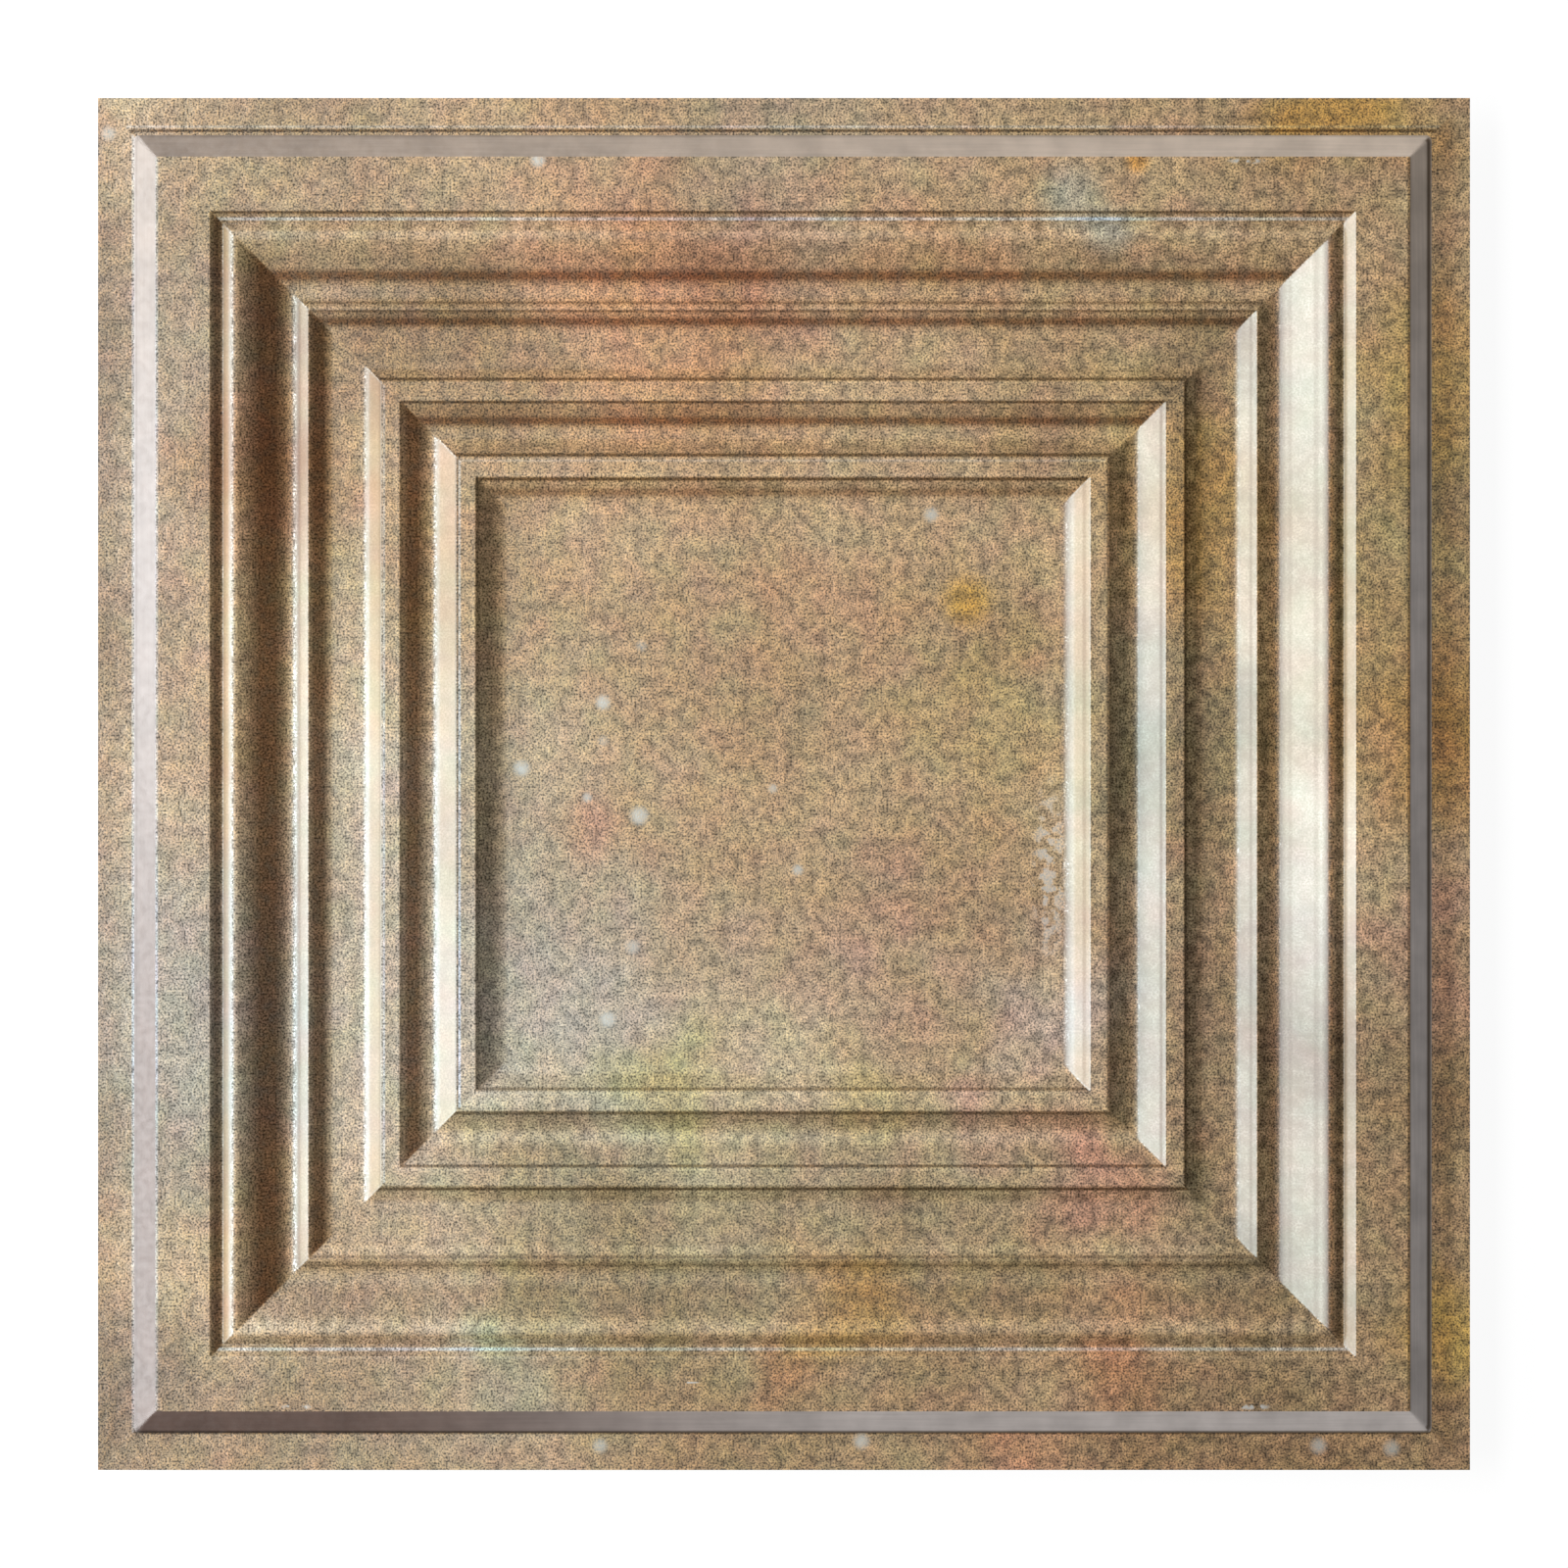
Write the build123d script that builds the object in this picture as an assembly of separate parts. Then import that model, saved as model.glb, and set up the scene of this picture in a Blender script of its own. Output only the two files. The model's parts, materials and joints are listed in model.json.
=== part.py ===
"""Lay-in ceiling tile: one sheet of PVC, vacuum formed into nested square mouldings around a panel.

The tile lies face up. Its origin is under the middle of the panel, on the surface that the panel's
back rests on, with +Z up out of the face. All four sides have the same section, mitred at the corners.
"""

import os

from build123d import *

# Driving dimensions, in millimetres

TILE_SIDE = 603.25  # 23 3/4 in, to drop into a 24 in grid
GAUGE = 0.75  # thickness of the flat sheet

# Widths of the section's bands in plan, corner to corner, from the edge of the tile inwards
FLANGE_WIDTH = 16.4  # flat lip that lies on the grid
BEVEL_WIDTH = 9.8  # slope from the flange up to the border
BORDER_WIDTH = 23.9  # flat, the highest face
QUIRK_WIDTH = 5.1  # slope down into the groove beside the bead
BEAD_WIDTH = 5.1  # outer half of the round bead
OGEE_WIDTH = 24.5  # slope from the bead down to the cove
COVE_LIP_WIDTH = 7.75  # rise from the cove to its inner crest
SINK_WIDTH = 8.6  # slope from the crest down to the field
FIELD_WIDTH = 16.9  # flat ring between cove and frame
RISE_WIDTH = 6.6  # slope from the field up to the frame
FRAME_OUTER_WIDTH = 8.2  # flat outer strip of the frame
CHANNEL_OUTER_WIDTH = 14.4  # outer slope of the channel in the frame
CHANNEL_INNER_WIDTH = 10.35  # its inner slope
FRAME_INNER_WIDTH = 8.6  # flat inner strip of the frame
PANEL_WALL_WIDTH = 9.4  # slope from the frame down to the panel

# Relief of the face, corner to corner
PANEL_SINK = 8.5  # frame and crest above panel
FIELD_SINK = 5.6  # frame above field
CHANNEL_DEPTH = 8.0  # frame above the bottom of the channel
COVE_LIP_RISE = 5.0  # crest above the bottom of the cove
OGEE_DROP = 15.5  # bead above the bottom of the cove
BEAD_DROP = 0.2  # border above bead
QUIRK_DEPTH = 4.5  # border above the bottom of the groove
BEVEL_RISE = 4.5  # border above flange

# Radii of the bends, on the face
CREASE_RADIUS = 0.8
BEAD_RADIUS = 4.5
COVE_RADIUS = 7.0
SINK_RADIUS = 8.0
RISE_RADIUS = 6.0
CHANNEL_RADIUS = 6.0
PANEL_WALL_RADIUS = 11.0

# Half-widths of the squares that the bands end on
half_side = TILE_SIDE / 2
flange_in = half_side - FLANGE_WIDTH
bevel_in = flange_in - BEVEL_WIDTH
border_in = bevel_in - BORDER_WIDTH
quirk_in = border_in - QUIRK_WIDTH
bead_in = quirk_in - BEAD_WIDTH
cove_in = bead_in - OGEE_WIDTH
crest_in = cove_in - COVE_LIP_WIDTH
field_out = crest_in - SINK_WIDTH
field_in = field_out - FIELD_WIDTH
frame_out = field_in - RISE_WIDTH
channel_out = frame_out - FRAME_OUTER_WIDTH
channel_middle = channel_out - CHANNEL_OUTER_WIDTH
channel_in = channel_middle - CHANNEL_INNER_WIDTH
frame_in = channel_in - FRAME_INNER_WIDTH
panel_half = frame_in - PANEL_WALL_WIDTH

# Heights of the face, with the panel's back at zero
panel_z = GAUGE
frame_z = panel_z + PANEL_SINK
field_z = frame_z - FIELD_SINK
channel_z = frame_z - CHANNEL_DEPTH
crest_z = frame_z
cove_z = crest_z - COVE_LIP_RISE
bead_z = cove_z + OGEE_DROP
border_z = bead_z + BEAD_DROP
quirk_z = border_z - QUIRK_DEPTH
flange_z = border_z - BEVEL_RISE


def face_corners():
    """Half-width, height and bend radius of the face's corners in section, from its edge inwards."""
    return [
        (flange_in, flange_z, CREASE_RADIUS),
        (bevel_in, border_z, CREASE_RADIUS),
        (border_in, border_z, CREASE_RADIUS),
        (quirk_in, quirk_z, CREASE_RADIUS),
        (bead_in, bead_z, BEAD_RADIUS),
        (cove_in, cove_z, COVE_RADIUS),
        (crest_in, crest_z, CREASE_RADIUS),
        (field_out, field_z, SINK_RADIUS),
        (field_in, field_z, RISE_RADIUS),
        (frame_out, frame_z, CREASE_RADIUS),
        (channel_out, frame_z, CREASE_RADIUS),
        (channel_middle, channel_z, CHANNEL_RADIUS),
        (channel_in, frame_z, CREASE_RADIUS),
        (frame_in, frame_z, CREASE_RADIUS),
        (panel_half, panel_z, PANEL_WALL_RADIUS),
    ]


def sheet_section():
    """Section of the sheet from the middle of the tile to one edge.

    The sheet is drawn straight back over the mould and thins on the slopes, so its back is its face
    moved back by the gauge.
    """
    base_z = -border_z
    corners = face_corners()
    face = [(width, height) for width, height, _ in corners]
    ends = [(0, panel_z), (0, base_z), (half_side, base_z), (half_side, flange_z)]
    under_face = make_face(Polyline(*face, *ends, close=True))
    for width, height, radius in corners:
        bend = under_face.vertices().sort_by_distance((width, height))[0]
        under_face = fillet(bend, radius)
    return under_face - Pos(0, -GAUGE) * under_face


def tile_side():
    """One quarter of the tile: the section run along one side and mitred to the middle."""
    section = Plane.XZ * sheet_section()
    run = extrude(section, amount=half_side, both=True)
    corner = (half_side, half_side)
    mitre = make_face(Polyline((0, 0), corner, (half_side, -half_side), close=True))
    return run & extrude(mitre, amount=border_z)


def ceiling_tile():
    """The whole sheet, from four equal mitred sides."""
    side = tile_side()
    return Part() + [Rot(0, 0, quarter * 90) * side for quarter in range(4)]


os.makedirs("parts", exist_ok=True)
tile = ceiling_tile()
tile.label = "ceiling_tile"
export_step(tile, "parts/ceiling_tile.step")
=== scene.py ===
"""Ceiling tile: one vacuum-formed sheet with a worn bronze print, lying face up on a pale floor.

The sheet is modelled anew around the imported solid, with the same section, so that its bends and mitres
are smooth. Units are metres, with +Z up out of the face.
"""

import json
import math

import bpy
import numpy as np
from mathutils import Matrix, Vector


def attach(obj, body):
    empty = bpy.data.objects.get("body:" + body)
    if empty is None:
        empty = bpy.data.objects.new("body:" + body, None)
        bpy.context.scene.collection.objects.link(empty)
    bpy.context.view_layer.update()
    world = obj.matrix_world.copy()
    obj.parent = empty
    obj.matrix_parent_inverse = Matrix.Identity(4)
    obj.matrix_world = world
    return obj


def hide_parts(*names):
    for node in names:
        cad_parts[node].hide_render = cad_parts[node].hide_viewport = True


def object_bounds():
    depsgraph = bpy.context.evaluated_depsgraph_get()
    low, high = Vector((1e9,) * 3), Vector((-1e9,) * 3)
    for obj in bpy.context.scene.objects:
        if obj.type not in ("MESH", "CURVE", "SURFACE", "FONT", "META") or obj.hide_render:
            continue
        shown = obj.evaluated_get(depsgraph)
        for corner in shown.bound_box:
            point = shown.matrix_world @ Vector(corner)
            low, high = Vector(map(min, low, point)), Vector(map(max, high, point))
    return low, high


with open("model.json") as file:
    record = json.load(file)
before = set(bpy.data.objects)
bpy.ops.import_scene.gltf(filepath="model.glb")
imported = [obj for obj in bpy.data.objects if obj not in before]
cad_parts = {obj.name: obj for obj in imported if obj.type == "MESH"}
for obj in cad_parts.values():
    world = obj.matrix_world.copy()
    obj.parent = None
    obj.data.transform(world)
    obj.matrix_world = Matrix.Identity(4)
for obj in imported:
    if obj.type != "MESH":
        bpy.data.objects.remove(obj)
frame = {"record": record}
cad_low, cad_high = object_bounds()

MM = 0.001
PATINA, BEVEL, BARE = range(3)  # places of the finishes in the tile's list


def colour(red, green, blue):
    return (red, green, blue, 1.0)


# Section of the sheet, from the edge of the tile inwards, corner to corner, as in the solid
GAUGE = 0.75 * MM
FLANGE_WIDTH = 16.4 * MM
BEVEL_WIDTH = 9.8 * MM
BORDER_WIDTH = 23.9 * MM
QUIRK_WIDTH = 5.1 * MM
BEAD_WIDTH = 5.1 * MM
OGEE_WIDTH = 24.5 * MM
COVE_LIP_WIDTH = 7.75 * MM
SINK_WIDTH = 8.6 * MM
FIELD_WIDTH = 16.9 * MM
RISE_WIDTH = 6.6 * MM
FRAME_OUTER_WIDTH = 8.2 * MM
CHANNEL_OUTER_WIDTH = 14.4 * MM
CHANNEL_INNER_WIDTH = 10.35 * MM
FRAME_INNER_WIDTH = 8.6 * MM
PANEL_WALL_WIDTH = 9.4 * MM

PANEL_SINK = 8.5 * MM
FIELD_SINK = 5.6 * MM
CHANNEL_DEPTH = 8.0 * MM
COVE_LIP_RISE = 5.0 * MM
OGEE_DROP = 15.5 * MM
QUIRK_DEPTH = 4.5 * MM

CREASE_RADIUS = 0.8 * MM
BEAD_RADIUS = 4.5 * MM
COVE_RADIUS = 7.0 * MM
SINK_RADIUS = 8.0 * MM
RISE_RADIUS = 6.0 * MM
CHANNEL_RADIUS = 6.0 * MM
PANEL_WALL_RADIUS = 11.0 * MM

# Half-widths of the squares that the bands end on
half_side = cad_high.x
flange_in = half_side - FLANGE_WIDTH
bevel_in = flange_in - BEVEL_WIDTH
border_in = bevel_in - BORDER_WIDTH
quirk_in = border_in - QUIRK_WIDTH
bead_in = quirk_in - BEAD_WIDTH
cove_in = bead_in - OGEE_WIDTH
crest_in = cove_in - COVE_LIP_WIDTH
field_out = crest_in - SINK_WIDTH
field_in = field_out - FIELD_WIDTH
frame_out = field_in - RISE_WIDTH
channel_out = frame_out - FRAME_OUTER_WIDTH
channel_middle = channel_out - CHANNEL_OUTER_WIDTH
channel_in = channel_middle - CHANNEL_INNER_WIDTH
frame_in = channel_in - FRAME_INNER_WIDTH
panel_half = frame_in - PANEL_WALL_WIDTH

# Heights of the face
mounts = {mount["name"]: mount for mount in frame["record"]["mounts"]}
flange_z = mounts["grid_flange"]["pos_m"][2]
border_z = cad_high.z
panel_z = GAUGE
frame_z = panel_z + PANEL_SINK
field_z = frame_z - FIELD_SINK
channel_z = frame_z - CHANNEL_DEPTH
crest_z = frame_z
cove_z = crest_z - COVE_LIP_RISE
bead_z = cove_z + OGEE_DROP
quirk_z = border_z - QUIRK_DEPTH

# How finely the sheet is divided
FINE_STEP = 0.05 * MM  # of the section, before stations are chosen
BEND_POINTS = 15
FACE_STEP = 4.5 * MM  # between stations on the flats of the face
FACE_TURN = math.radians(7)  # between stations on its bends
BACK_STEP = 9 * MM
BACK_TURN = math.radians(14)
MIDDLE_STATION = 14 * MM  # half-width of the innermost loop
SIDE_POINTS = 46
END_STEPS = np.array([0, 0.5, 1.4, 3.2, 7.0]) * MM  # points near each corner
CORNER_POINTS = 4
CORNER_RADIUS = 0.7 * MM  # of the mitres, in plan
FOOT_RADIUS = 2.3 * MM  # of the bevel's foot, in plan
LEAST_RADIUS = 0.05 * MM  # of the tile's own corners
SHARP_ANGLE = math.radians(60)  # edges that turn further than this stay sharp
LINE_GAP = 0.15 * MM  # least gap between a loop and one added for a line
FACE_MAP = 0.88  # side of the face in the texture map; the back is small, in the corner left over
BACK_MAP = 0.10
MAP_GAP = 0.01
PATTERN_SHIFT = 0.5 * MM  # of the mouldings towards -X, because the sheet is trimmed off centre


def face_corners():
    """Half-width, height and bend radius of the face's corners in section, from its edge inwards."""
    return [
        (flange_in, flange_z, CREASE_RADIUS),
        (bevel_in, border_z, CREASE_RADIUS),
        (border_in, border_z, CREASE_RADIUS),
        (quirk_in, quirk_z, CREASE_RADIUS),
        (bead_in, bead_z, BEAD_RADIUS),
        (cove_in, cove_z, COVE_RADIUS),
        (crest_in, crest_z, CREASE_RADIUS),
        (field_out, field_z, SINK_RADIUS),
        (field_in, field_z, RISE_RADIUS),
        (frame_out, frame_z, CREASE_RADIUS),
        (channel_out, frame_z, CREASE_RADIUS),
        (channel_middle, channel_z, CHANNEL_RADIUS),
        (channel_in, frame_z, CREASE_RADIUS),
        (frame_in, frame_z, CREASE_RADIUS),
        (panel_half, panel_z, PANEL_WALL_RADIUS),
    ]


def bend(before, corner, after, radius):
    """Points of the arc that rounds a corner of the section."""
    coming = (corner - before) / np.linalg.norm(corner - before)
    going = (after - corner) / np.linalg.norm(after - corner)
    turn = math.acos(np.clip(coming @ going, -1, 1))
    inward = going - coming * (coming @ going)
    inward /= np.linalg.norm(inward)
    start = corner - coming * radius * math.tan(turn / 2)
    angles = np.linspace(0, turn, BEND_POINTS)[:, None]
    return start + radius * (np.sin(angles) * coming + (1 - np.cos(angles)) * inward)


def face_section():
    """Fine half-widths from the middle to the edge, and the height of the face at each."""
    corners = face_corners()
    edge = np.array([half_side, flange_z])
    middle = np.array([0, panel_z])
    places = [edge, *[np.array(corner[:2]) for corner in corners], middle]
    line = [edge[None]]
    for index, corner in enumerate(corners):
        line.append(bend(*places[index : index + 3], corner[2]))
    line = np.concatenate([*line, middle[None]])[::-1]
    widths = np.linspace(0, half_side, round(half_side / FINE_STEP) + 1)
    return widths, np.interp(widths, line[:, 0], line[:, 1])


def stations(step, turn):
    """Half-widths, from the edge inwards, where the sheet gets a loop: close together on the bends."""
    widths, heights = face_section()
    angle = np.arctan(np.gradient(heights, widths))
    turned = np.concatenate([[0], np.cumsum(np.abs(np.diff(angle)))])
    measure = widths / step + turned / turn
    first = np.interp(MIDDLE_STATION, widths, measure)
    chosen = np.interp(np.linspace(first, measure[-1], math.ceil(measure[-1] - first)), measure, widths)
    for limit in (flange_in, bevel_in):
        chosen[np.abs(chosen - limit).argmin()] = limit
    return np.sort(chosen)[::-1]


def corner_radius(width):
    """Plan radius of a loop's corners: larger at the bevel's foot, and next to none at the edge."""
    foot = np.clip(1 - abs(width - flange_in) / BEVEL_WIDTH, 0, 1)
    edge = np.clip((half_side - width) / BEVEL_WIDTH, 0, 1)
    return max(CORNER_RADIUS * edge, FOOT_RADIUS * foot, LEAST_RADIUS)


def loop(width):
    """Plan points of a square loop with rounded corners, counterclockwise from the start of the +X side."""
    radius = corner_radius(width)
    reach = width - radius
    ends = END_STEPS * min(1, reach / panel_half)
    middle = np.linspace(-reach + ends[-1], reach - ends[-1], SIDE_POINTS)[1:-1]
    along = np.concatenate([-reach + ends, middle, (reach - ends)[::-1]])
    straight = np.stack([np.full_like(along, width), along], 1)
    turns = np.linspace(0, math.pi / 2, CORNER_POINTS + 1)[1:-1]
    corner = reach + radius * np.stack([np.cos(turns), np.sin(turns)], 1)
    side = np.concatenate([straight, corner])
    quarter = np.array([[0, 1], [-1, 0]])
    sides = [side]
    for _ in range(3):
        sides.append(sides[-1] @ quarter)
    return np.concatenate(sides)


def surface(widths, lower):
    """Points of the face, or of the back when lowered, one row for each loop."""
    section = face_section()
    rows = []
    for width in widths:
        plan = loop(width)
        plan[:, 0] -= PATTERN_SHIFT * np.clip((half_side - width) / FLANGE_WIDTH, 0, 1)
        height = np.full(len(plan), np.interp(width, *section) - lower)
        rows.append(np.column_stack([plan, height]))
    return np.array(rows)


def band_faces(first, count, rows):
    """Quads between the rows of a surface whose points start at an index, wound to face up."""
    grid = first + np.arange(rows * count).reshape(rows, count)
    following = np.roll(grid, -1, axis=1)
    quads = np.stack([grid[:-1], following[:-1], following[1:], grid[1:]], 2)
    return quads.reshape(-1, 4)


# Wide clouds in the print, some of which, along the left and right edges, are painted light and shade:
# middle and radius in millimetres, and what they do to the colour there
CLOUDS = [
    ((-165, -80), 150, (1.04, 1.22, 1.56)),
    ((-110, 35), 60, (1.02, 1.08, 1.14)),
    ((-170, 30), 80, (1.03, 1.10, 1.18)),
    ((-105, -30), 45, (1.05, 1.12, 1.16)),
    ((220, -240), 70, (0.80, 0.84, 0.84)),
    ((0, -141), 60, (1.10, 1.12, 1.10)),
    ((-215, 255), 130, (0.78, 0.78, 0.80)),
    ((-150, 192), 60, (0.68, 0.64, 0.60)),
    ((-192, 80), 60, (0.88, 0.92, 0.92)),
    ((-297, 170), 110, (0.78, 0.82, 0.94)),
    ((-297, 60), 80, (0.80, 0.82, 0.90)),
    ((-297, -100), 120, (0.88, 1.00, 1.28)),
    ((-295, -270), 60, (0.62, 0.64, 0.72)),
    ((-264, -140), 90, (0.84, 0.88, 0.90)),
    ((0, 296), 90, (0.80, 0.84, 0.95)),
    ((0, 262), 60, (1.10, 1.17, 1.18)),
    ((-230, 264), 50, (1.08, 1.14, 1.12)),
    ((150, 172), 40, (1.18, 1.26, 1.16)),
    ((264, 50), 100, (1.50, 1.48, 1.28)),
    ((264, 140), 75, (1.20, 1.32, 1.30)),
    ((264, -60), 90, (1.30, 1.36, 1.48)),
    ((172, 10), 80, (0.56, 0.60, 0.58)),
    ((192, -15), 50, (1.15, 1.10, 1.04)),
    ((192, -90), 100, (0.80, 0.80, 0.84)),
    ((192, 190), 45, (0.70, 0.70, 0.66)),
    ((139, 0), 85, (1.30, 1.34, 1.40)),
    ((296, 60), 130, (0.60, 0.60, 0.56)),
    ((296, -110), 120, (0.80, 0.80, 0.78)),
    ((-170, -262), 110, (1.08, 1.16, 1.32)),
    ((-200, -297), 120, (0.72, 0.70, 0.66)),
    ((0, -297), 120, (0.78, 0.78, 0.75)),
    ((200, -297), 120, (0.78, 0.72, 0.68)),
    ((-100, -141), 50, (1.22, 1.25, 1.25)),
    ((-40, -264), 60, (1.18, 1.20, 1.20)),
    ((-40, -172), 60, (1.20, 1.22, 1.14)),
    ((-40, -141), 50, (1.12, 1.12, 1.15)),
    ((95, -172), 60, (1.16, 1.22, 1.30)),
    ((-130, -172), 50, (1.14, 1.17, 1.15)),
    ((190, -192), 40, (0.76, 0.82, 0.86)),
    ((-60, -192), 120, (0.66, 0.70, 0.66)),
    ((80, -192), 90, (0.82, 0.86, 0.82)),
    ((-20, -140), 120, (1.12, 1.24, 1.48)),
    ((115, -100), 50, (1.08, 1.18, 1.60)),
    ((-98, -92), 80, (0.98, 1.05, 1.20)),
    ((-80, 234), 70, (1.00, 0.86, 0.86)),
    ((-10, 234), 60, (0.96, 0.84, 0.92)),
    ((60, 230), 60, (1.00, 0.90, 0.86)),
    ((-50, 178), 75, (1.05, 0.90, 0.82)),
    ((247, 294), 45, (1.08, 0.95, 0.45)),
    ((181, 115), 60, (1.00, 0.90, 0.55)),
    ((290, 172), 60, (0.98, 0.90, 0.60)),
    ((290, 23), 60, (1.00, 0.85, 0.65)),
    ((290, -75), 40, (1.02, 0.88, 1.00)),
    ((292, -241), 40, (1.15, 1.08, 0.55)),
    ((92, 34), 65, (0.90, 0.92, 0.76)),
    ((23, 75), 40, (1.00, 0.90, 0.88)),
    ((43, -65), 55, (1.00, 0.93, 1.06)),
    ((-52, -131), 38, (0.96, 1.00, 0.72)),
    ((30, -134), 38, (0.94, 0.96, 0.78)),
    ((-121, -253), 38, (0.92, 1.05, 1.12)),
    ((-115, -230), 28, (0.96, 1.05, 0.88)),
    ((29, -236), 42, (1.08, 0.95, 0.65)),
    ((0, -256), 25, (1.04, 0.84, 0.80)),
    ((150, -259), 32, (1.04, 0.82, 0.78)),
    ((103, -292), 48, (1.04, 0.82, 0.82)),
    ((132, -177), 42, (1.04, 0.83, 0.95)),
    ((92, -147), 26, (0.98, 0.86, 1.05)),
    ((-231, 135), 50, (0.80, 0.68, 0.62)),
]

# Waves that bend the clouds' outlines: waves a metre along X and Y, and phase
CLOUD_WAVES = [(9, 4, 0.3), (-5, 11, 1.9), (17, -7, 4.1), (8, 21, 2.6)]
CLOUD_DRIFT = 5 * MM
CLOUD_FADE = 0.8  # share of a cloud's radius over which it fades out


def cloud_tints(places):
    """What the wide clouds do to the print's colour at some points of the sheet."""
    plan = places[:, :2]
    drift = np.zeros_like(plan)
    for along_x, along_y, phase in CLOUD_WAVES:
        angle = 2 * math.pi * (plan @ np.array([along_x, along_y])) + phase
        drift += CLOUD_DRIFT * np.stack([np.sin(angle), np.cos(angle + phase)], 1)
    tints = np.ones((len(plan), 3))
    for middle, radius, change in CLOUDS:
        away = np.linalg.norm(plan + drift - np.array(middle) * MM, axis=1)
        share = np.clip((radius * MM - away) / (CLOUD_FADE * radius * MM), 0, 1)
        share = share**2 * (3 - 2 * share)
        tints *= 1 + share[:, None] * (np.array(change) - 1)
    return tints


# What the lines do to the print's colour, in this order: dark lines of dirt and of painted shade in the
# creases;
# dark bands of painted shade on slopes and flanges; pale bands of rubbed print and of painted light; thin
# pale lines of wear and of painted glints on edges. Together they paint light and shade along the mouldings
# that the lamps here don't give.
DIRT_AND_CREASE_SHADE = (0.22, 0.18, 0.13)
SHADE = (0.42, 0.31, 0.24)
RUB_AND_PAINTED_LIGHT = (1.35, 1.40, 1.45)
WEAR_AND_PAINTED_GLINT = (1.5, 2.1, 3.6)

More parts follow.
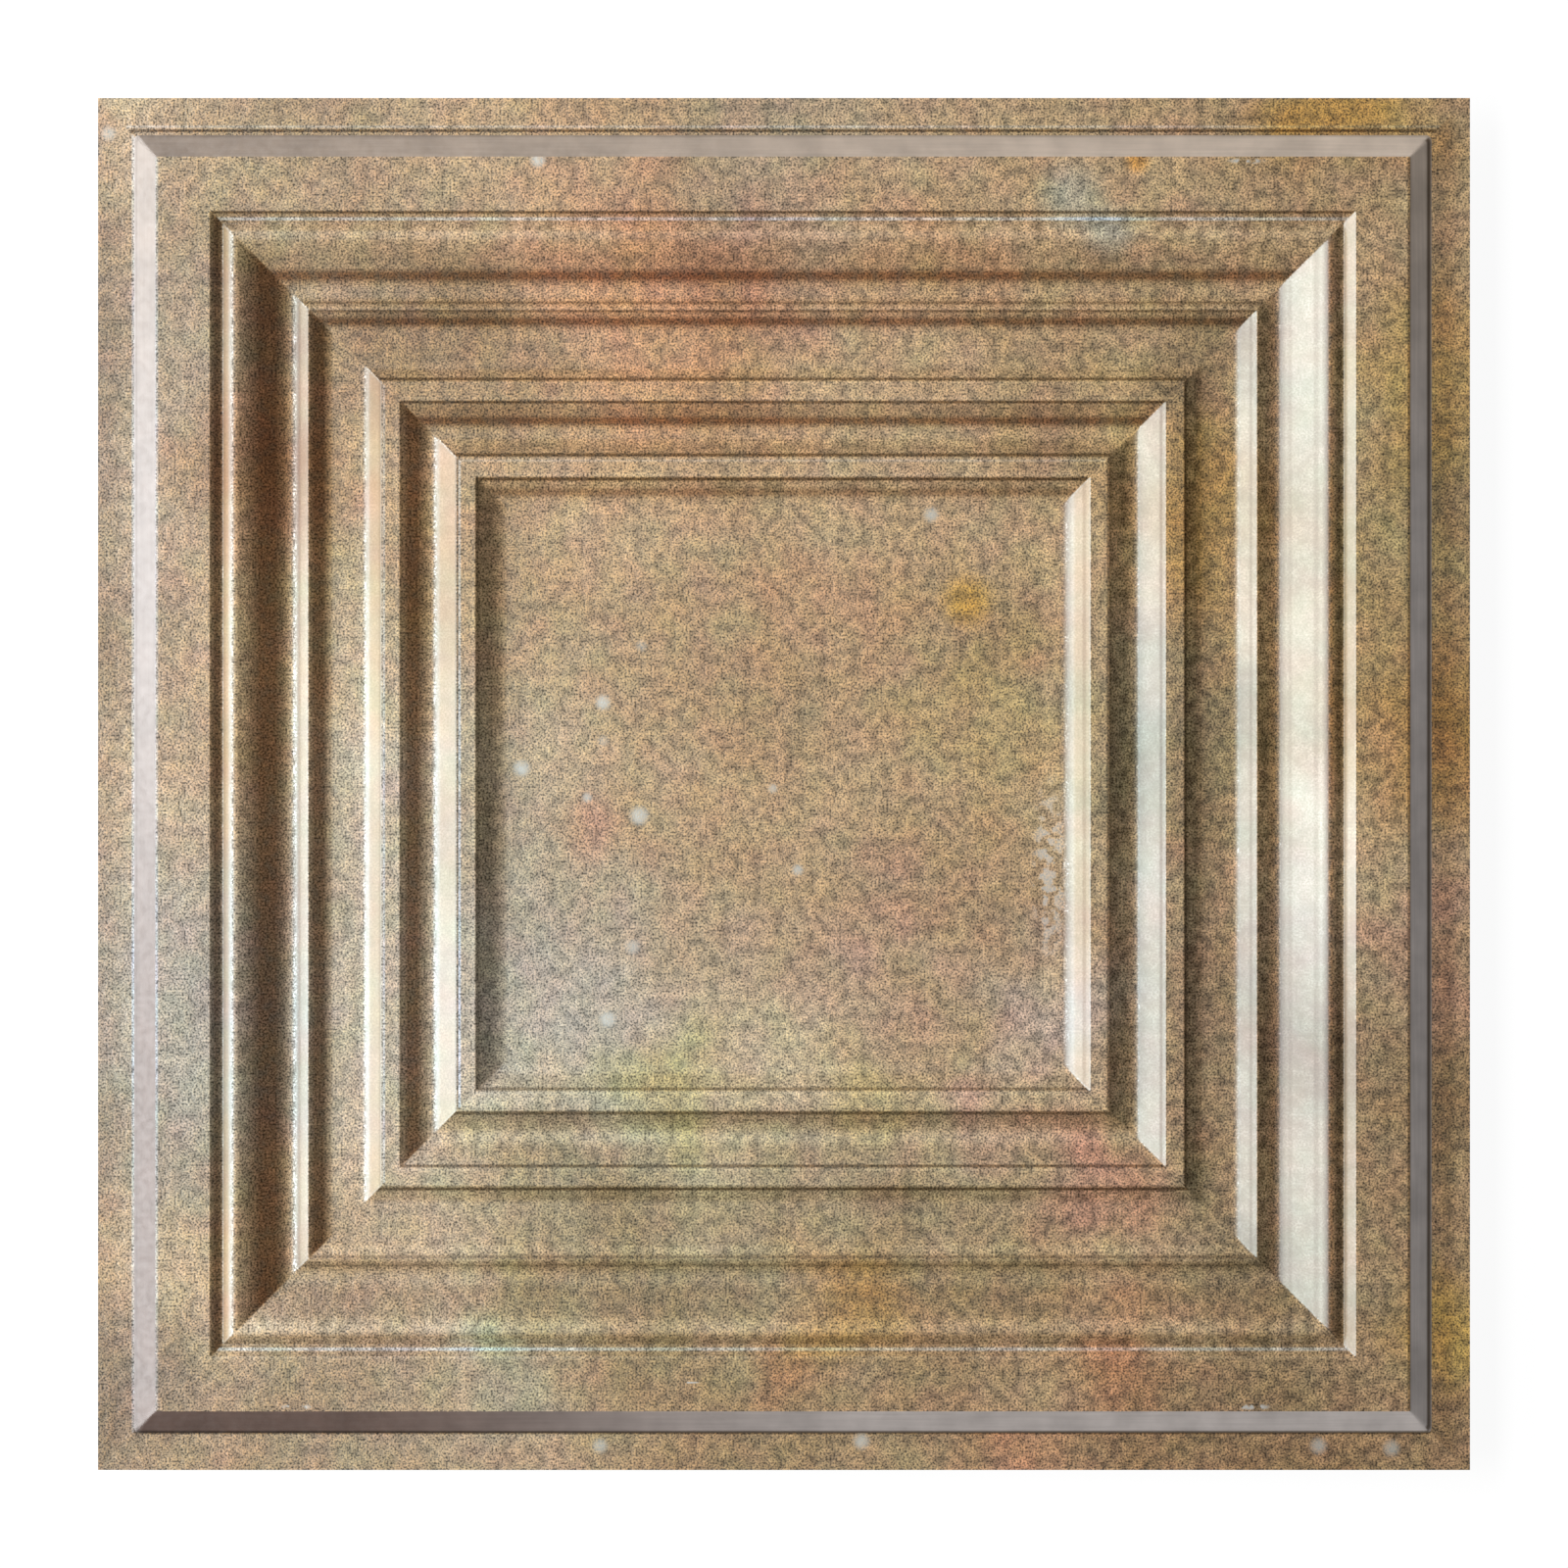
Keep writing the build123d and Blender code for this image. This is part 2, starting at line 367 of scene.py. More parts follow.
# Lines and bands of these along the mouldings: half-width of the square and half of the band's width, both
# in millimetres, the change, and its strength on the top, bottom, left and right side
# Strengths that differ from side to side paint the light and shade of the lamps at the left
LINES = [
    # painted shade: the left flange darker towards its edge
    (299.0, 10.0, SHADE, (0.0, 0.0, 0.25, 0.0)),
    (289.0, 0.7, WEAR_AND_PAINTED_GLINT, (0.35, 0.0, 0.0, 0.0)),
    (287.2, 1.0, DIRT_AND_CREASE_SHADE, (0.95, 0.0, 0.0, 0.0)),
    # painted shadow of the bevel on the right flange
    (290.0, 8.0, SHADE, (0.0, 0.0, 0.0, 0.45)),
    (285.8, 0.8, WEAR_AND_PAINTED_GLINT, (0.0, 0.0, 0.5, 0.0)),
    (285.1, 1.1, DIRT_AND_CREASE_SHADE, (0.3, 0.95, 0.0, 0.0)),
    (284.2, 0.7, DIRT_AND_CREASE_SHADE, (0.0, 0.0, 0.35, 0.0)),
    (283.9, 1.2, DIRT_AND_CREASE_SHADE, (0.0, 0.0, 0.0, 0.95)),
    (275.0, 1.1, DIRT_AND_CREASE_SHADE, (0.0, 0.0, 0.0, 0.75)),
    (274.9, 0.8, WEAR_AND_PAINTED_GLINT, (0.0, 0.0, 0.45, 0.0)),
    (251.9, 0.9, RUB_AND_PAINTED_LIGHT, (0.0, 0.6, 0.0, 0.0)),
    (251.1, 1.0, DIRT_AND_CREASE_SHADE, (0.85, 0.0, 0.0, 0.0)),
    (248.5, 2.6, SHADE, (0.0, 0.0, 0.8, 0.0)),
    (248.3, 0.9, WEAR_AND_PAINTED_GLINT, (0.9, 0.9, 0.0, 0.0)),
    (245.4, 1.4, SHADE, (0.0, 0.2, 0.0, 0.0)),
    (244.3, 1.9, SHADE, (0.0, 0.0, 0.0, 0.6)),
    (243.2, 3.0, RUB_AND_PAINTED_LIGHT, (0.5, 0.0, 0.0, 0.0)),
    (240.2, 3.4, SHADE, (0.0, 0.0, 0.0, 0.8)),
    (238.5, 4.5, RUB_AND_PAINTED_LIGHT, (0.2, 0.9, 0.6, 0.0)),
    (227.0, 10.5, SHADE, (0.2, 0.2, 0.98, 0.0)),
    (234.5, 1.6, SHADE, (0.0, 0.0, 0.0, 0.25)),
    (223.5, 1.3, SHADE, (0.0, 0.0, 0.0, 0.25)),
    (224.0, 3.6, SHADE, (0.95, 0.1, 0.0, 0.0)),
    (218.0, 5.0, SHADE, (0.0, 0.0, 0.0, 0.6)),
    (213.5, 1.3, SHADE, (0.0, 0.0, 0.45, 0.0)),
    (212.2, 1.0, DIRT_AND_CREASE_SHADE, (0.6, 0.5, 0.0, 0.0)),
    (209.8, 0.8, RUB_AND_PAINTED_LIGHT, (0.5, 1.0, 0.0, 0.0)),
    (208.4, 0.9, DIRT_AND_CREASE_SHADE, (0.7, 0.55, 0.0, 0.0)),
    (206.3, 0.9, SHADE, (0.0, 0.0, 0.0, 0.35)),
    (205.0, 2.8, RUB_AND_PAINTED_LIGHT, (0.0, 0.8, 0.0, 0.0)),
    (204.6, 5.5, SHADE, (0.3, 0.1, 0.9, 0.0)),
    (204.0, 2.6, SHADE, (0.85, 0.0, 0.0, 0.0)),
    (181.5, 3.0, RUB_AND_PAINTED_LIGHT, (0.0, 0.0, 0.0, 0.6)),
    (178.5, 1.1, DIRT_AND_CREASE_SHADE, (0.85, 0.95, 0.0, 0.0)),
    (177.3, 1.1, DIRT_AND_CREASE_SHADE, (0.0, 0.0, 0.3, 0.75)),
    (177.2, 0.7, RUB_AND_PAINTED_LIGHT, (0.5, 0.0, 0.0, 0.0)),
    (175.8, 0.8, WEAR_AND_PAINTED_GLINT, (0.0, 0.0, 0.4, 0.0)),
    (170.0, 0.8, RUB_AND_PAINTED_LIGHT, (0.45, 0.45, 0.3, 0.3)),
    (168.3, 1.0, DIRT_AND_CREASE_SHADE, (0.9, 0.85, 0.3, 0.0)),
    (166.7, 1.0, SHADE, (0.0, 0.0, 0.0, 0.5)),
    (163.2, 6.5, SHADE, (0.4, 0.2, 0.95, 0.0)),
    (160.2, 2.8, SHADE, (0.9, 0.0, 0.0, 0.0)),
    (156.0, 5.5, RUB_AND_PAINTED_LIGHT, (0.0, 0.55, 0.0, 0.0)),
    (149.5, 5.0, RUB_AND_PAINTED_LIGHT, (0.0, 0.0, 0.0, 0.5)),
    (147.5, 3.2, SHADE, (0.3, 0.35, 0.0, 0.0)),
    (145.0, 1.3, DIRT_AND_CREASE_SHADE, (0.9, 0.85, 0.0, 0.0)),
    (143.5, 1.2, DIRT_AND_CREASE_SHADE, (0.0, 0.0, 0.55, 0.75)),
    (142.5, 0.8, WEAR_AND_PAINTED_GLINT, (0.2, 0.0, 0.7, 0.0)),
    (139.5, 3.8, RUB_AND_PAINTED_LIGHT, (0.0, 0.4, 0.0, 0.3)),
    (136.4, 0.8, RUB_AND_PAINTED_LIGHT, (0.45, 0.45, 0.3, 0.0)),
    (134.4, 1.1, DIRT_AND_CREASE_SHADE, (0.95, 0.7, 0.4, 0.0)),
    (132.9, 1.1, SHADE, (0.0, 0.0, 0.0, 0.4)),
    (128.8, 2.6, SHADE, (0.6, 0.0, 0.0, 0.0)),
    (124.8, 3.4, SHADE, (0.0, 0.0, 0.0, 0.5)),
    (118.5, 6.0, RUB_AND_PAINTED_LIGHT, (0.0, 0.0, 0.0, 0.35)),
]
LINE_CORE = 0.3  # share of a line's width where it is at full strength


def line_tints(widths, places):
    """What the lines do to the colour at points of the sheet, each on the square of a half-width: dirt,
    wear and rubbed print, and painted light and shade.
    """
    x = places[:, 0] + PATTERN_SHIFT
    y = places[:, 1]
    upright = np.abs(x) >= np.abs(y)
    sides = np.stack([~upright & (y > 0), ~upright & (y <= 0), upright & (x < 0), upright & (x >= 0)], 1)
    tints = np.ones((len(places), 3))
    for middle, half, change, strengths in LINES:
        off = np.abs(widths / MM - middle)
        share = np.clip((half - off) / (half * (1 - LINE_CORE)), 0, 1) * (sides @ np.array(strengths))
        tints *= 1 + share[:, None] * (np.array(change) - 1)
    return tints


def with_lines(widths):
    """Half-widths of the face's loops, with more of them where lines start and end."""
    chosen = list(widths)
    for middle, half, *_ in LINES:
        for edge in (-half, -LINE_CORE * half, LINE_CORE * half, half):
            width = (middle + edge) * MM
            if width < half_side and np.abs(np.array(chosen) - width).min() > LINE_GAP:
                chosen.append(width)
    return np.sort(chosen)[::-1]


def tile_mesh():
    """The whole sheet: face, back and cut edge, with a material for each."""
    face_widths = with_lines(stations(FACE_STEP, FACE_TURN))
    back_widths = stations(BACK_STEP, BACK_TURN)
    face = surface(face_widths, 0)
    back = surface(back_widths, GAUGE)
    count = face.shape[1]
    middles = np.array([[0, 0, panel_z], [0, 0, 0]])
    places = np.concatenate([face.reshape(-1, 3), back.reshape(-1, 3), middles])

    back_first = len(face) * count
    face_middle = len(places) - 2
    back_middle = len(places) - 1
    face_quads = band_faces(0, count, len(face))
    back_quads = band_faces(back_first, count, len(back))[:, ::-1]
    index = np.arange(count)
    following = np.roll(index, -1)
    rim = np.stack([back_first + index, back_first + following, following, index], 1)
    face_last = (len(face) - 1) * count
    back_last = back_first + (len(back) - 1) * count
    face_fan = np.stack([face_last + index, face_last + following, np.full(count, face_middle)], 1)
    back_fan = np.stack([back_last + following, back_last + index, np.full(count, back_middle)], 1)

    mesh = bpy.data.meshes.new("tile_sheet")
    parts = (face_quads, face_fan, back_quads, back_fan, rim)
    polygons = [polygon for part in parts for polygon in part.tolist()]
    mesh.from_pydata(places.tolist(), [], polygons)

    middle_widths = (face_widths[:-1] + face_widths[1:]) / 2
    on_bevel = (middle_widths < flange_in) & (middle_widths > bevel_in)
    finish = np.full(len(polygons), BARE)
    finish[: len(face_quads)] = np.repeat(np.where(on_bevel, BEVEL, PATINA), count)
    finish[len(face_quads) : len(face_quads) + len(face_fan)] = PATINA
    mesh.polygons.foreach_set("material_index", finish)
    mesh.polygons.foreach_set("use_smooth", np.ones(len(polygons), bool))
    lined = np.ones((len(places), 3))
    lined[:back_first] = line_tints(np.repeat(face_widths, count), places[:back_first])
    for name, tints in (("cloud_tint", cloud_tints(places)), ("line_and_painted_light_tint", lined)):
        rows = np.column_stack([tints, np.ones(len(places))])
        mesh.attributes.new(name, "FLOAT_COLOR", "POINT").data.foreach_set("color", rows.ravel())

    corners = places[np.concatenate([part.ravel() for part in parts])]
    face_corners_count = face_quads.size + face_fan.size
    spread = 0.5 + corners[:, :2] / (2 * half_side)
    spread[:face_corners_count] *= FACE_MAP
    sloped = spread[face_corners_count:] + corners[face_corners_count:, 2:] / half_side
    spread[face_corners_count:] = FACE_MAP + MAP_GAP + BACK_MAP * sloped
    mesh.uv_layers.new(name="OFBake").data.foreach_set("uv", spread.ravel())
    mesh.update()
    mesh.set_sharp_from_angle(angle=SHARP_ANGLE)
    return mesh


class Graph:
    """Builds one material's nodes. A value for a node is a number, a colour or another node's output."""

    def __init__(self, name):
        self.material = bpy.data.materials.new(name)
        self.material.use_nodes = True
        self.tree = self.material.node_tree
        self.tree.nodes.clear()

    def add(self, kind, inputs, output=0, **settings):
        node = self.tree.nodes.new(kind)
        for name, value in settings.items():
            setattr(node, name, value)
        for key, value in inputs.items():
            if isinstance(value, bpy.types.NodeSocket):
                self.tree.links.new(value, node.inputs[key])
            else:
                node.inputs[key].default_value = value
        return node.outputs[output]

    def maths(self, operation, *values):
        return self.add("ShaderNodeMath", dict(enumerate(values)), operation=operation)

    def vector(self, operation, first, second):
        output = "Value" if operation == "DISTANCE" else "Vector"
        return self.add("ShaderNodeVectorMath", {0: first, 1: second}, output, operation=operation)

    def scaled(self, value, factor):
        return self.add("ShaderNodeVectorMath", {0: value, "Scale": factor}, operation="SCALE")

    def ranged(self, value, start, end, low=0.0, high=1.0, smooth=True):
        """A value's range from start to end, drawn out from low to high."""
        inputs = {0: value, 1: start, 2: end, 3: low, 4: high}
        kind = "SMOOTHSTEP" if smooth else "LINEAR"
        return self.add("ShaderNodeMapRange", inputs, interpolation_type=kind)

    def noise(self, place, scale, detail, output="Fac"):
        inputs = {"Vector": place, "Scale": scale, "Detail": detail}
        return self.add("ShaderNodeTexNoise", inputs, output, noise_dimensions="2D")

    def spread(self, noise, low, high):
        """A noise drawn out from low to high."""
        return self.ranged(noise, *NOISE_SPAN, low, high, smooth=False)

    def mixed(self, share, first, second, blend="MIX"):
        inputs = {0: share, 6: first, 7: second}
        return self.add("ShaderNodeMix", inputs, 2, data_type="RGBA", blend_type=blend)

    def plan(self):
        """The place on the sheet seen straight from above, in metres."""
        place = self.add("ShaderNodeTexCoord", {}, "Object")
        return self.vector("MULTIPLY", place, (1, 1, 0))

    def away(self, place, x, y):
        """Distance of a place from a point that is given in millimetres."""
        return self.vector("DISTANCE", place, (x * MM, y * MM, 0))

    def ring(self, place):
        """Half-width of the square that a place lies on."""
        parts = self.add("ShaderNodeSeparateXYZ", {0: self.vector("ABSOLUTE", place, (0, 0, 0))}, 0)
        return self.maths("MAXIMUM", parts, parts.node.outputs[1])

    def tints(self, name):
        """A colour that the mesh keeps at its points."""
        return self.add("ShaderNodeAttribute", {}, "Color", attribute_name=name)

    def finish(self, **inputs):
        named = {name.replace("_", " "): value for name, value in inputs.items()}
        self.add_output(self.add("ShaderNodeBsdfPrincipled", named))
        return self.material

    def add_output(self, shader):
        output = self.tree.nodes.new("ShaderNodeOutputMaterial")
        self.tree.links.new(shader, output.inputs["Surface"])


# Pale spots in the print: middle and radius in millimetres, strength
SPOTS = [
    ((-108, 274), 4.5, 0.65),
    ((-80, 36), 4.5, 0.75),
    ((-116, 7), 5.0, 0.75),
    ((-64, -14), 5.5, 0.75),
    ((-87, -6), 3.0, 0.50),
    ((-5, -2), 2.8, 0.55),
    ((6, -38), 3.5, 0.60),
    ((-67, -72), 4.5, 0.45),
    ((-78, -104), 5.0, 0.80),
    ((65, 119), 4.5, 0.60),
    ((-80, 19), 3.5, 0.25),
    ((-63, 61), 3.5, 0.25),
    ((34, -289), 5.0, 0.60),
    ((235, -291), 5.0, 0.50),
    ((267, -292), 5.0, 0.50),
    ((-81, -291), 4.5, 0.50),
    ((-297, 286), 4.5, 0.35),
]
SPOT_COLOUR = colour(0.76, 0.72, 0.62)

# Pale scuffs: middle, half-lengths along X and Y in millimetres, and strength
SCUFFS = [
    ((117, -38), (9, 50), 0.55),
    ((203, 273.5), (10, 1.6), 0.8),
    ((206, -273.5), (10, 1.6), 0.8),
    ((-214, -273.5), (8, 1.6), 0.8),
    ((-42, -262.8), (7, 0.5), 0.9),
]
SCUFF_COLOUR = colour(0.72, 0.70, 0.65)

# Small stains: middle and radius in millimetres, and what they do to the colour
STAINS = [
    ((126, 259), 20, colour(0.90, 1.15, 1.50)),
    ((142, 243), 16, colour(0.90, 1.12, 1.45)),
    ((155, 274), 8, colour(1.30, 0.95, 0.40)),
    ((81, 81), 16, colour(1.22, 1.05, 0.40)),
    ((-85, -19), 20, colour(1.12, 0.94, 1.00)),
]

# Colours of the print and of the lacquer's reflections
BRONZE = colour(0.512, 0.340, 0.175)
BRONZE_DARK = colour(0.435, 0.279, 0.138)
GLOSS = (0.33, 0.51, 0.61)
GLOSS_IOR = 3.2

# Noises of the print, in features a metre, and how far each one changes the colour
NOISE_SPAN = (0.3, 0.7)  # where most values of a noise lie
TONE_SCALE = 11.0
TONE_SPAN = (0.35, 0.68)
MOTTLE_SCALE = 45.0
MOTTLE_RANGE = (0.91, 1.09)
HUE_SCALE = 60.0
HUE_LEAST = 0.91
HUE_REACH = 0.18
PATCH_SCALE = 210.0
PATCH_LEAST = 0.32  # depth of the flakes at the left
PATCH_GAIN = 0.14  # how much deeper they are at the right
PATCH_REACH = 0.24  # where both depths are reached, either side of the middle
GRAIN_SCALE = 1150.0
GRAIN_SPAN = (0.25, 0.75)
GRAIN_RANGE = (0.15, 1.85)

# Slopes that face -X, towards the lamps: their grain is calmer, a painted effect of the highlights washing
# it out, from one tilt of the face to another, with a grainy limit
CALM = 0.85
CALM_TILTS = (-0.02, -0.26)
CALM_GRAIN = 0.30

# Lacquer: dull on dark print and shiny on pale print, with flakes and grain in relief
PALE_GREEN = 0.7
SHINE_RANGE = (0.12, 1.85)
SHADE_SPAN = (0.3, 1.7)
ROUGHNESS_RANGE = (0.56, 0.28)
BUMP_STRENGTH = 0.35
PATCH_RELIEF = 0.4 * MM
GRAIN_RELIEF = 0.14 * MM

# Soft limits of stains, spots and scuffs, as shares of their radius, and the patches that break up lines
STAIN_CORE = 0.2
SPOT_CORE = 0.15
SCUFF_CORE = 0.3
SCUFF_PATCHES = (0.48, 0.60)
LINE_PATCHES = (0.3, 0.5)
LINE_SHARES = (0.75, 1.0)


def patina_material():
    """Bronze print: clouds of colour, pale spots, mottling and a fine speckle, under a satin lacquer. Some
    of the clouds and lines, and the calmer grain on slopes facing -X, are painted light and shade.
    """
    graph = Graph("patina_print")
    place = graph.plan()
    across = graph.add("ShaderNodeSeparateXYZ", {0: place}, 0)
    rightward = graph.ranged(across, -PATCH_REACH, PATCH_REACH, smooth=False)
    grain = graph.noise(place, GRAIN_SCALE, 1.0)
    patches = graph.noise(place, PATCH_SCALE, 2.0)

    facing = graph.add("ShaderNodeTexCoord", {}, "Normal")
    facing = graph.add("ShaderNodeSeparateXYZ", {0: facing}, 0)
    facing = graph.maths("MULTIPLY_ADD", grain, CALM_GRAIN, facing)
    calm = graph.ranged(facing, *CALM_TILTS, 0.0, CALM)

    mottle = graph.spread(graph.noise(place, MOTTLE_SCALE, 2.0), *MOTTLE_RANGE)
    depth = graph.maths("MULTIPLY_ADD", rightward, PATCH_GAIN, PATCH_LEAST)
    flakes = graph.spread(patches, graph.maths("SUBTRACT", 1.0, depth), graph.maths("ADD", 1.0, depth))
    speckle = graph.ranged(grain, *GRAIN_SPAN, *GRAIN_RANGE, smooth=False)
    shade = graph.maths("MULTIPLY", graph.maths("MULTIPLY", mottle, flakes), speckle)
    shade = graph.maths("MULTIPLY_ADD", calm, graph.maths("SUBTRACT", 1.0, shade), shade)

    tone = graph.ranged(graph.noise(place, TONE_SCALE, 2.0), *TONE_SPAN)
    tint = graph.mixed(tone, BRONZE, BRONZE_DARK)
    tint = graph.vector("MULTIPLY", tint, graph.tints("cloud_tint"))
    for middle, radius, change in STAINS:
        share = graph.ranged(graph.away(place, *middle), radius * MM, STAIN_CORE * radius * MM)
        tint = graph.mixed(share, tint, change, "MULTIPLY")

    hues = {0: graph.noise(place, HUE_SCALE, 1.0, "Color"), 1: (HUE_REACH,) * 3, 2: (HUE_LEAST,) * 3}
    hues = graph.add("ShaderNodeVectorMath", hues, operation="MULTIPLY_ADD")
    tint = graph.vector("MULTIPLY", tint, hues)
    tint = graph.scaled(tint, shade)
    broken = graph.ranged(patches, *LINE_PATCHES, *LINE_SHARES)
    tint = graph.mixed(broken, tint, graph.vector("MULTIPLY", tint, graph.tints("line_and_painted_light_tint")))

    for middle, radius, strength in SPOTS:
        away = graph.away(place, *middle)
        share = graph.ranged(away, radius * MM, SPOT_CORE * radius * MM, 0.0, strength)
        tint = graph.mixed(share, tint, SPOT_COLOUR)
    curls = graph.ranged(patches, *SCUFF_PATCHES)
    for (x, y), (half_x, half_y), strength in SCUFFS:
        away = graph.vector("SUBTRACT", place, (x * MM, y * MM, 0))
        away = graph.vector("MULTIPLY", away, (1 / (half_x * MM), 1 / (half_y * MM), 0))
        away = graph.vector("DISTANCE", away, (0, 0, 0))
        share = graph.maths("MULTIPLY", graph.ranged(away, 1.0, SCUFF_CORE, 0.0, strength), curls)
        tint = graph.mixed(share, tint, SCUFF_COLOUR)

    green = graph.add("ShaderNodeSeparateColor", {0: tint}, 1)
    shine = graph.ranged(green, 0.0, PALE_GREEN, *SHINE_RANGE, smooth=False)
    roughness = graph.ranged(shade, *SHADE_SPAN, *ROUGHNESS_RANGE, smooth=False)
    bumpy = graph.maths("MULTIPLY_ADD", calm, -BUMP_STRENGTH, BUMP_STRENGTH)
    relief = {"Height": patches, "Strength": bumpy, "Distance": PATCH_RELIEF}
    relief = graph.add("ShaderNodeBump", relief)
    relief = {"Height": grain, "Strength": bumpy, "Distance": GRAIN_RELIEF, "Normal": relief}
    return graph.finish(
        Base_Color=tint,
        Roughness=roughness,
        IOR=GLOSS_IOR,
        Specular_Tint=graph.scaled(GLOSS, shine),
        Normal=graph.add("ShaderNodeBump", relief),
    )


# Stretched print on the bevel: its colour at the left and at the right, painted darker at the left and
# paler at the right as shade and light, and what changes it
BEVEL_LEFT_WITH_PAINTED_SHADE = colour(0.25, 0.215, 0.20)
BEVEL_RIGHT_WITH_PAINTED_LIGHT = colour(0.66, 0.60, 0.57)
BEVEL_LEAN = -0.12  # how far the change from left to right leans
BEVEL_WARM = colour(1.02, 0.93, 0.80)  # towards the top
BEVEL_WARM_FROM = 0.1
BEVEL_PINK = colour(0.42, 0.32, 0.28)  # around a place low on the left side
BEVEL_PINK_PLACE = (-half_side, -0.8 * half_side, 0)
BEVEL_PINK_SPAN = (0.35, 0.1)
STREAK_STRETCH = 40.0
STREAK_SCALE = 22.0
STREAK_RANGE = (0.94, 1.06)
BLOTCH_SCALE = 60.0
BLOTCH_RANGE = (0.88, 1.12)
BEVEL_ROUGHNESS_SCALE = 300.0
BEVEL_ROUGHNESS_RANGE = (0.28, 0.42)
BEVEL_IOR = 1.9


def bevel_material():
    """Smooth grey-violet strip of the outer bevel, where the print is stretched thin, with painted shade at
    the left and painted light at the right.
    """
    graph = Graph("stretched_print_with_painted_light")
    place = graph.plan()
    across = graph.add("ShaderNodeSeparateXYZ", {0: place}, 0)
    upward = across.node.outputs[1]
    leaning = graph.maths("ADD", across, graph.maths("MULTIPLY", upward, BEVEL_LEAN))
    painted_light_share = graph.ranged(leaning, -half_side, half_side, smooth=False)
    tint = graph.mixed(painted_light_share, BEVEL_LEFT_WITH_PAINTED_SHADE, BEVEL_RIGHT_WITH_PAINTED_LIGHT)
    warm = graph.ranged(upward, BEVEL_WARM_FROM, half_side)
    tint = graph.mixed(warm, tint, BEVEL_WARM, "MULTIPLY")
    pink = graph.ranged(graph.vector("DISTANCE", place, BEVEL_PINK_PLACE), *BEVEL_PINK_SPAN)
    tint = graph.mixed(pink, tint, BEVEL_PINK, "MULTIPLY")

    outward = graph.maths("MULTIPLY", graph.ring(place), STREAK_STRETCH)
    streak_place = {0: outward, 1: graph.maths("ADD", across, upward)}
    streak_place = graph.add("ShaderNodeCombineXYZ", streak_place)
    streaks = graph.spread(graph.noise(streak_place, STREAK_SCALE, 3.0), *STREAK_RANGE)
    blotches = graph.spread(graph.noise(place, BLOTCH_SCALE, 4.0), *BLOTCH_RANGE)
    tint = graph.scaled(tint, graph.maths("MULTIPLY", streaks, blotches))
    tint = graph.vector("MULTIPLY", tint, graph.tints("line_and_painted_light_tint"))
    roughness = graph.noise(place, BEVEL_ROUGHNESS_SCALE, 2.0)
    roughness = graph.spread(roughness, *BEVEL_ROUGHNESS_RANGE)
    return graph.finish(Base_Color=tint, Roughness=roughness, IOR=BEVEL_IOR)


# Bare back of the sheet
BARE_DARK = colour(0.60, 0.59, 0.56)
BARE_PALE = colour(0.66, 0.65, 0.62)
BARE_ROUGHNESS = 0.45
ROLLING_STRETCH = (1.0, 0.06, 1.0)
ROLLING_SCALE = 220.0


def bare_material():
    """Unprinted back of the sheet: pale plastic with faint rolling streaks."""
    graph = Graph("bare_plastic")
    stretched = graph.vector("MULTIPLY", graph.plan(), ROLLING_STRETCH)
    streaks = graph.ranged(graph.noise(stretched, ROLLING_SCALE, 3.0), *NOISE_SPAN)
    return graph.finish(Base_Color=graph.mixed(streaks, BARE_DARK, BARE_PALE), Roughness=BARE_ROUGHNESS)


tile = bpy.data.objects.new("tile_sheet", tile_mesh())
bpy.context.collection.objects.link(tile)
for material in (patina_material(), bevel_material(), bare_material()):
    tile.data.materials.append(material)
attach(tile, "root")
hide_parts("ceiling_tile")

# Floor
FLOOR_HALF = 12.0
FLOOR_DROP = 0.5 * MM  # below the tile, so that the two don't share a plane
FLOOR_GLOW = 0.94
FLOOR_LIT = colour(0.12, 0.12, 0.12)  # takes the shadow
FLOOR_PLAIN = colour(0.8, 0.8, 0.8)  # what the tile gets light from
WHITE = colour(1, 1, 1)


def floor_material():
    """White floor that shows white to the camera and keeps a soft shadow."""
    graph = Graph("white_floor")
    lit = graph.add("ShaderNodeBsdfDiffuse", {"Color": FLOOR_LIT})
    glow = graph.add("ShaderNodeEmission", {"Color": WHITE, "Strength": FLOOR_GLOW})
    both = graph.add("ShaderNodeAddShader", {0: lit, 1: glow})
    plain = graph.add("ShaderNodeBsdfDiffuse", {"Color": FLOOR_PLAIN})
    paths = graph.tree.nodes.new("ShaderNodeLightPath")
    seen = graph.maths("MAXIMUM", paths.outputs["Is Camera Ray"], paths.outputs["Is Transmission Ray"])
    graph.add_output(graph.add("ShaderNodeMixShader", {0: seen, 1: plain, 2: both}))
    return graph.material


floor_mesh = bpy.data.meshes.new("floor")
corners = [(x * FLOOR_HALF, y * FLOOR_HALF, 0) for x, y in ((-1, -1), (1, -1), (1, 1), (-1, 1))]
floor_mesh.from_pydata(corners, [], [(0, 1, 2, 3)])
floor_mesh.materials.append(floor_material())
floor = bpy.data.objects.new("floor", floor_mesh)
bpy.context.collection.objects.link(floor)
floor.location.z = -FLOOR_DROP

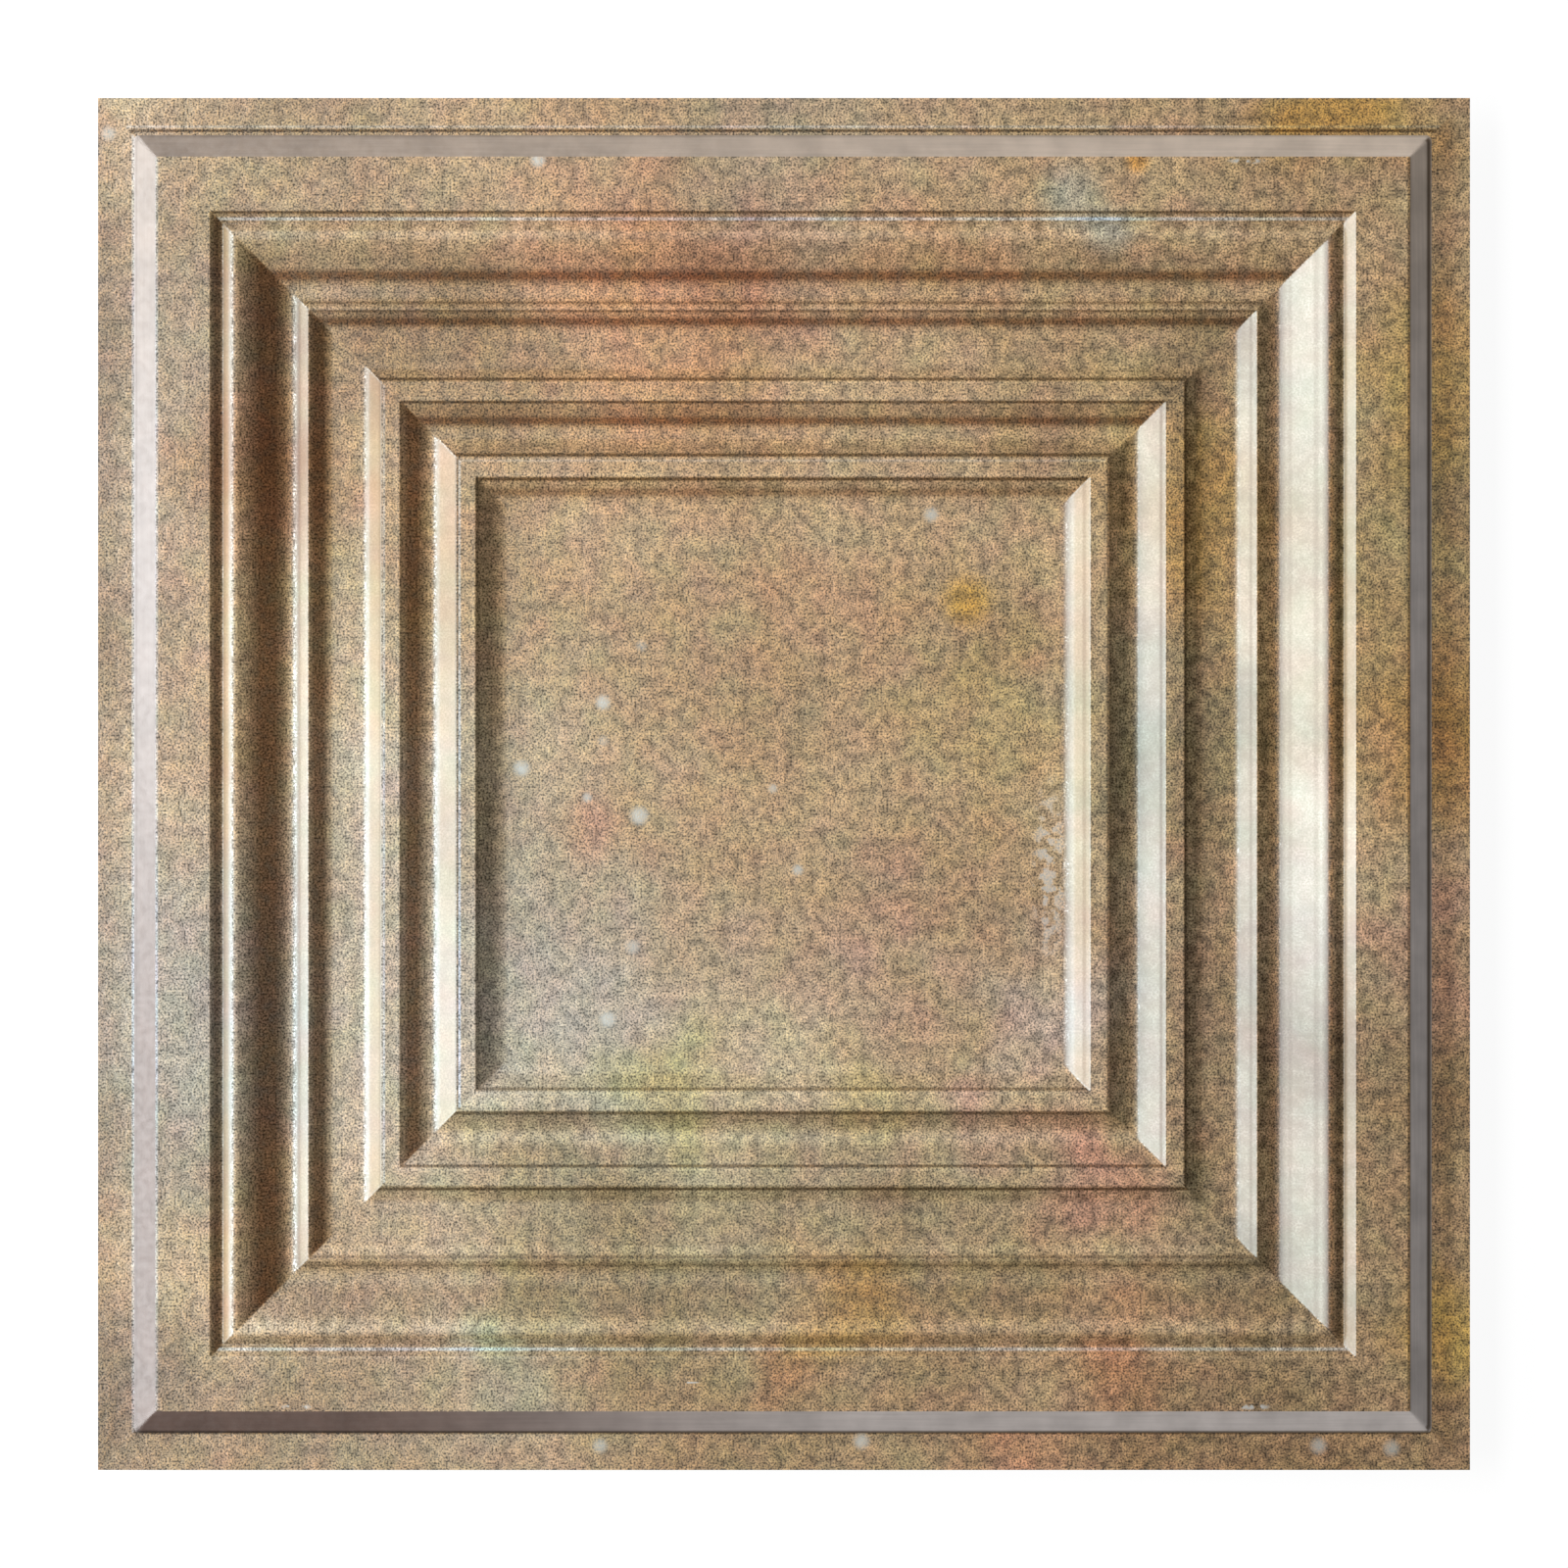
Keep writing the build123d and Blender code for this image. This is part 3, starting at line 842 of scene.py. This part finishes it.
# Light: two soft panels at the left, a low strip and a tall one above it, in a dim room
PANEL_X = -0.80
PANEL_Y = 0.40
PANEL_WIDTH = 2.4
PANELS = [  # bottom, top and radiance
    (0.20, 0.62, 5.0),
    (0.80, 1.40, 7.6),
]
ROOM_STRENGTH = 0.05


def soft_panel(bottom, top, radiance):
    """Upright rectangular lamp that faces the tile."""
    data = bpy.data.lights.new("soft_panel", "AREA")
    data.shape = "RECTANGLE"
    data.size = PANEL_WIDTH
    data.size_y = top - bottom
    data.energy = radiance * math.pi * data.size * data.size_y
    lamp = bpy.data.objects.new("soft_panel", data)
    lamp.location = (PANEL_X, PANEL_Y, (bottom + top) / 2)
    lamp.rotation_euler = Vector((1, 0, 0)).to_track_quat("-Z", "Y").to_euler()
    lamp.visible_camera = False
    bpy.context.collection.objects.link(lamp)


for panel in PANELS:
    soft_panel(*panel)

world = bpy.data.worlds.new("room")
bpy.context.scene.world = world
world.use_nodes = True
world.node_tree.nodes.clear()
room = world.node_tree.nodes.new("ShaderNodeBackground")
white = world.node_tree.nodes.new("ShaderNodeBackground")
path = world.node_tree.nodes.new("ShaderNodeLightPath")
mix = world.node_tree.nodes.new("ShaderNodeMixShader")
out = world.node_tree.nodes.new("ShaderNodeOutputWorld")
room.inputs["Color"].default_value = WHITE
room.inputs["Strength"].default_value = ROOM_STRENGTH
white.inputs["Color"].default_value = WHITE
world.node_tree.links.new(path.outputs["Is Camera Ray"], mix.inputs[0])
world.node_tree.links.new(room.outputs[0], mix.inputs[1])
world.node_tree.links.new(white.outputs[0], mix.inputs[2])
world.node_tree.links.new(mix.outputs[0], out.inputs["Surface"])

# Camera: straight above, with the tile 1400 of the picture's 1600 pixels wide
CAMERA_HEIGHT = 3.0
TILE_PIXELS = 1400
PICTURE_PIXELS = 1600

camera_data = bpy.data.cameras.new("camera")
half_view = half_side * PICTURE_PIXELS / TILE_PIXELS
camera_data.lens = camera_data.sensor_width / 2 * (CAMERA_HEIGHT - flange_z) / half_view
camera = bpy.data.objects.new("camera", camera_data)
camera.location = (0, 0, CAMERA_HEIGHT)
bpy.context.collection.objects.link(camera)
bpy.context.scene.camera = camera
bpy.context.scene.view_settings.view_transform = "Standard"
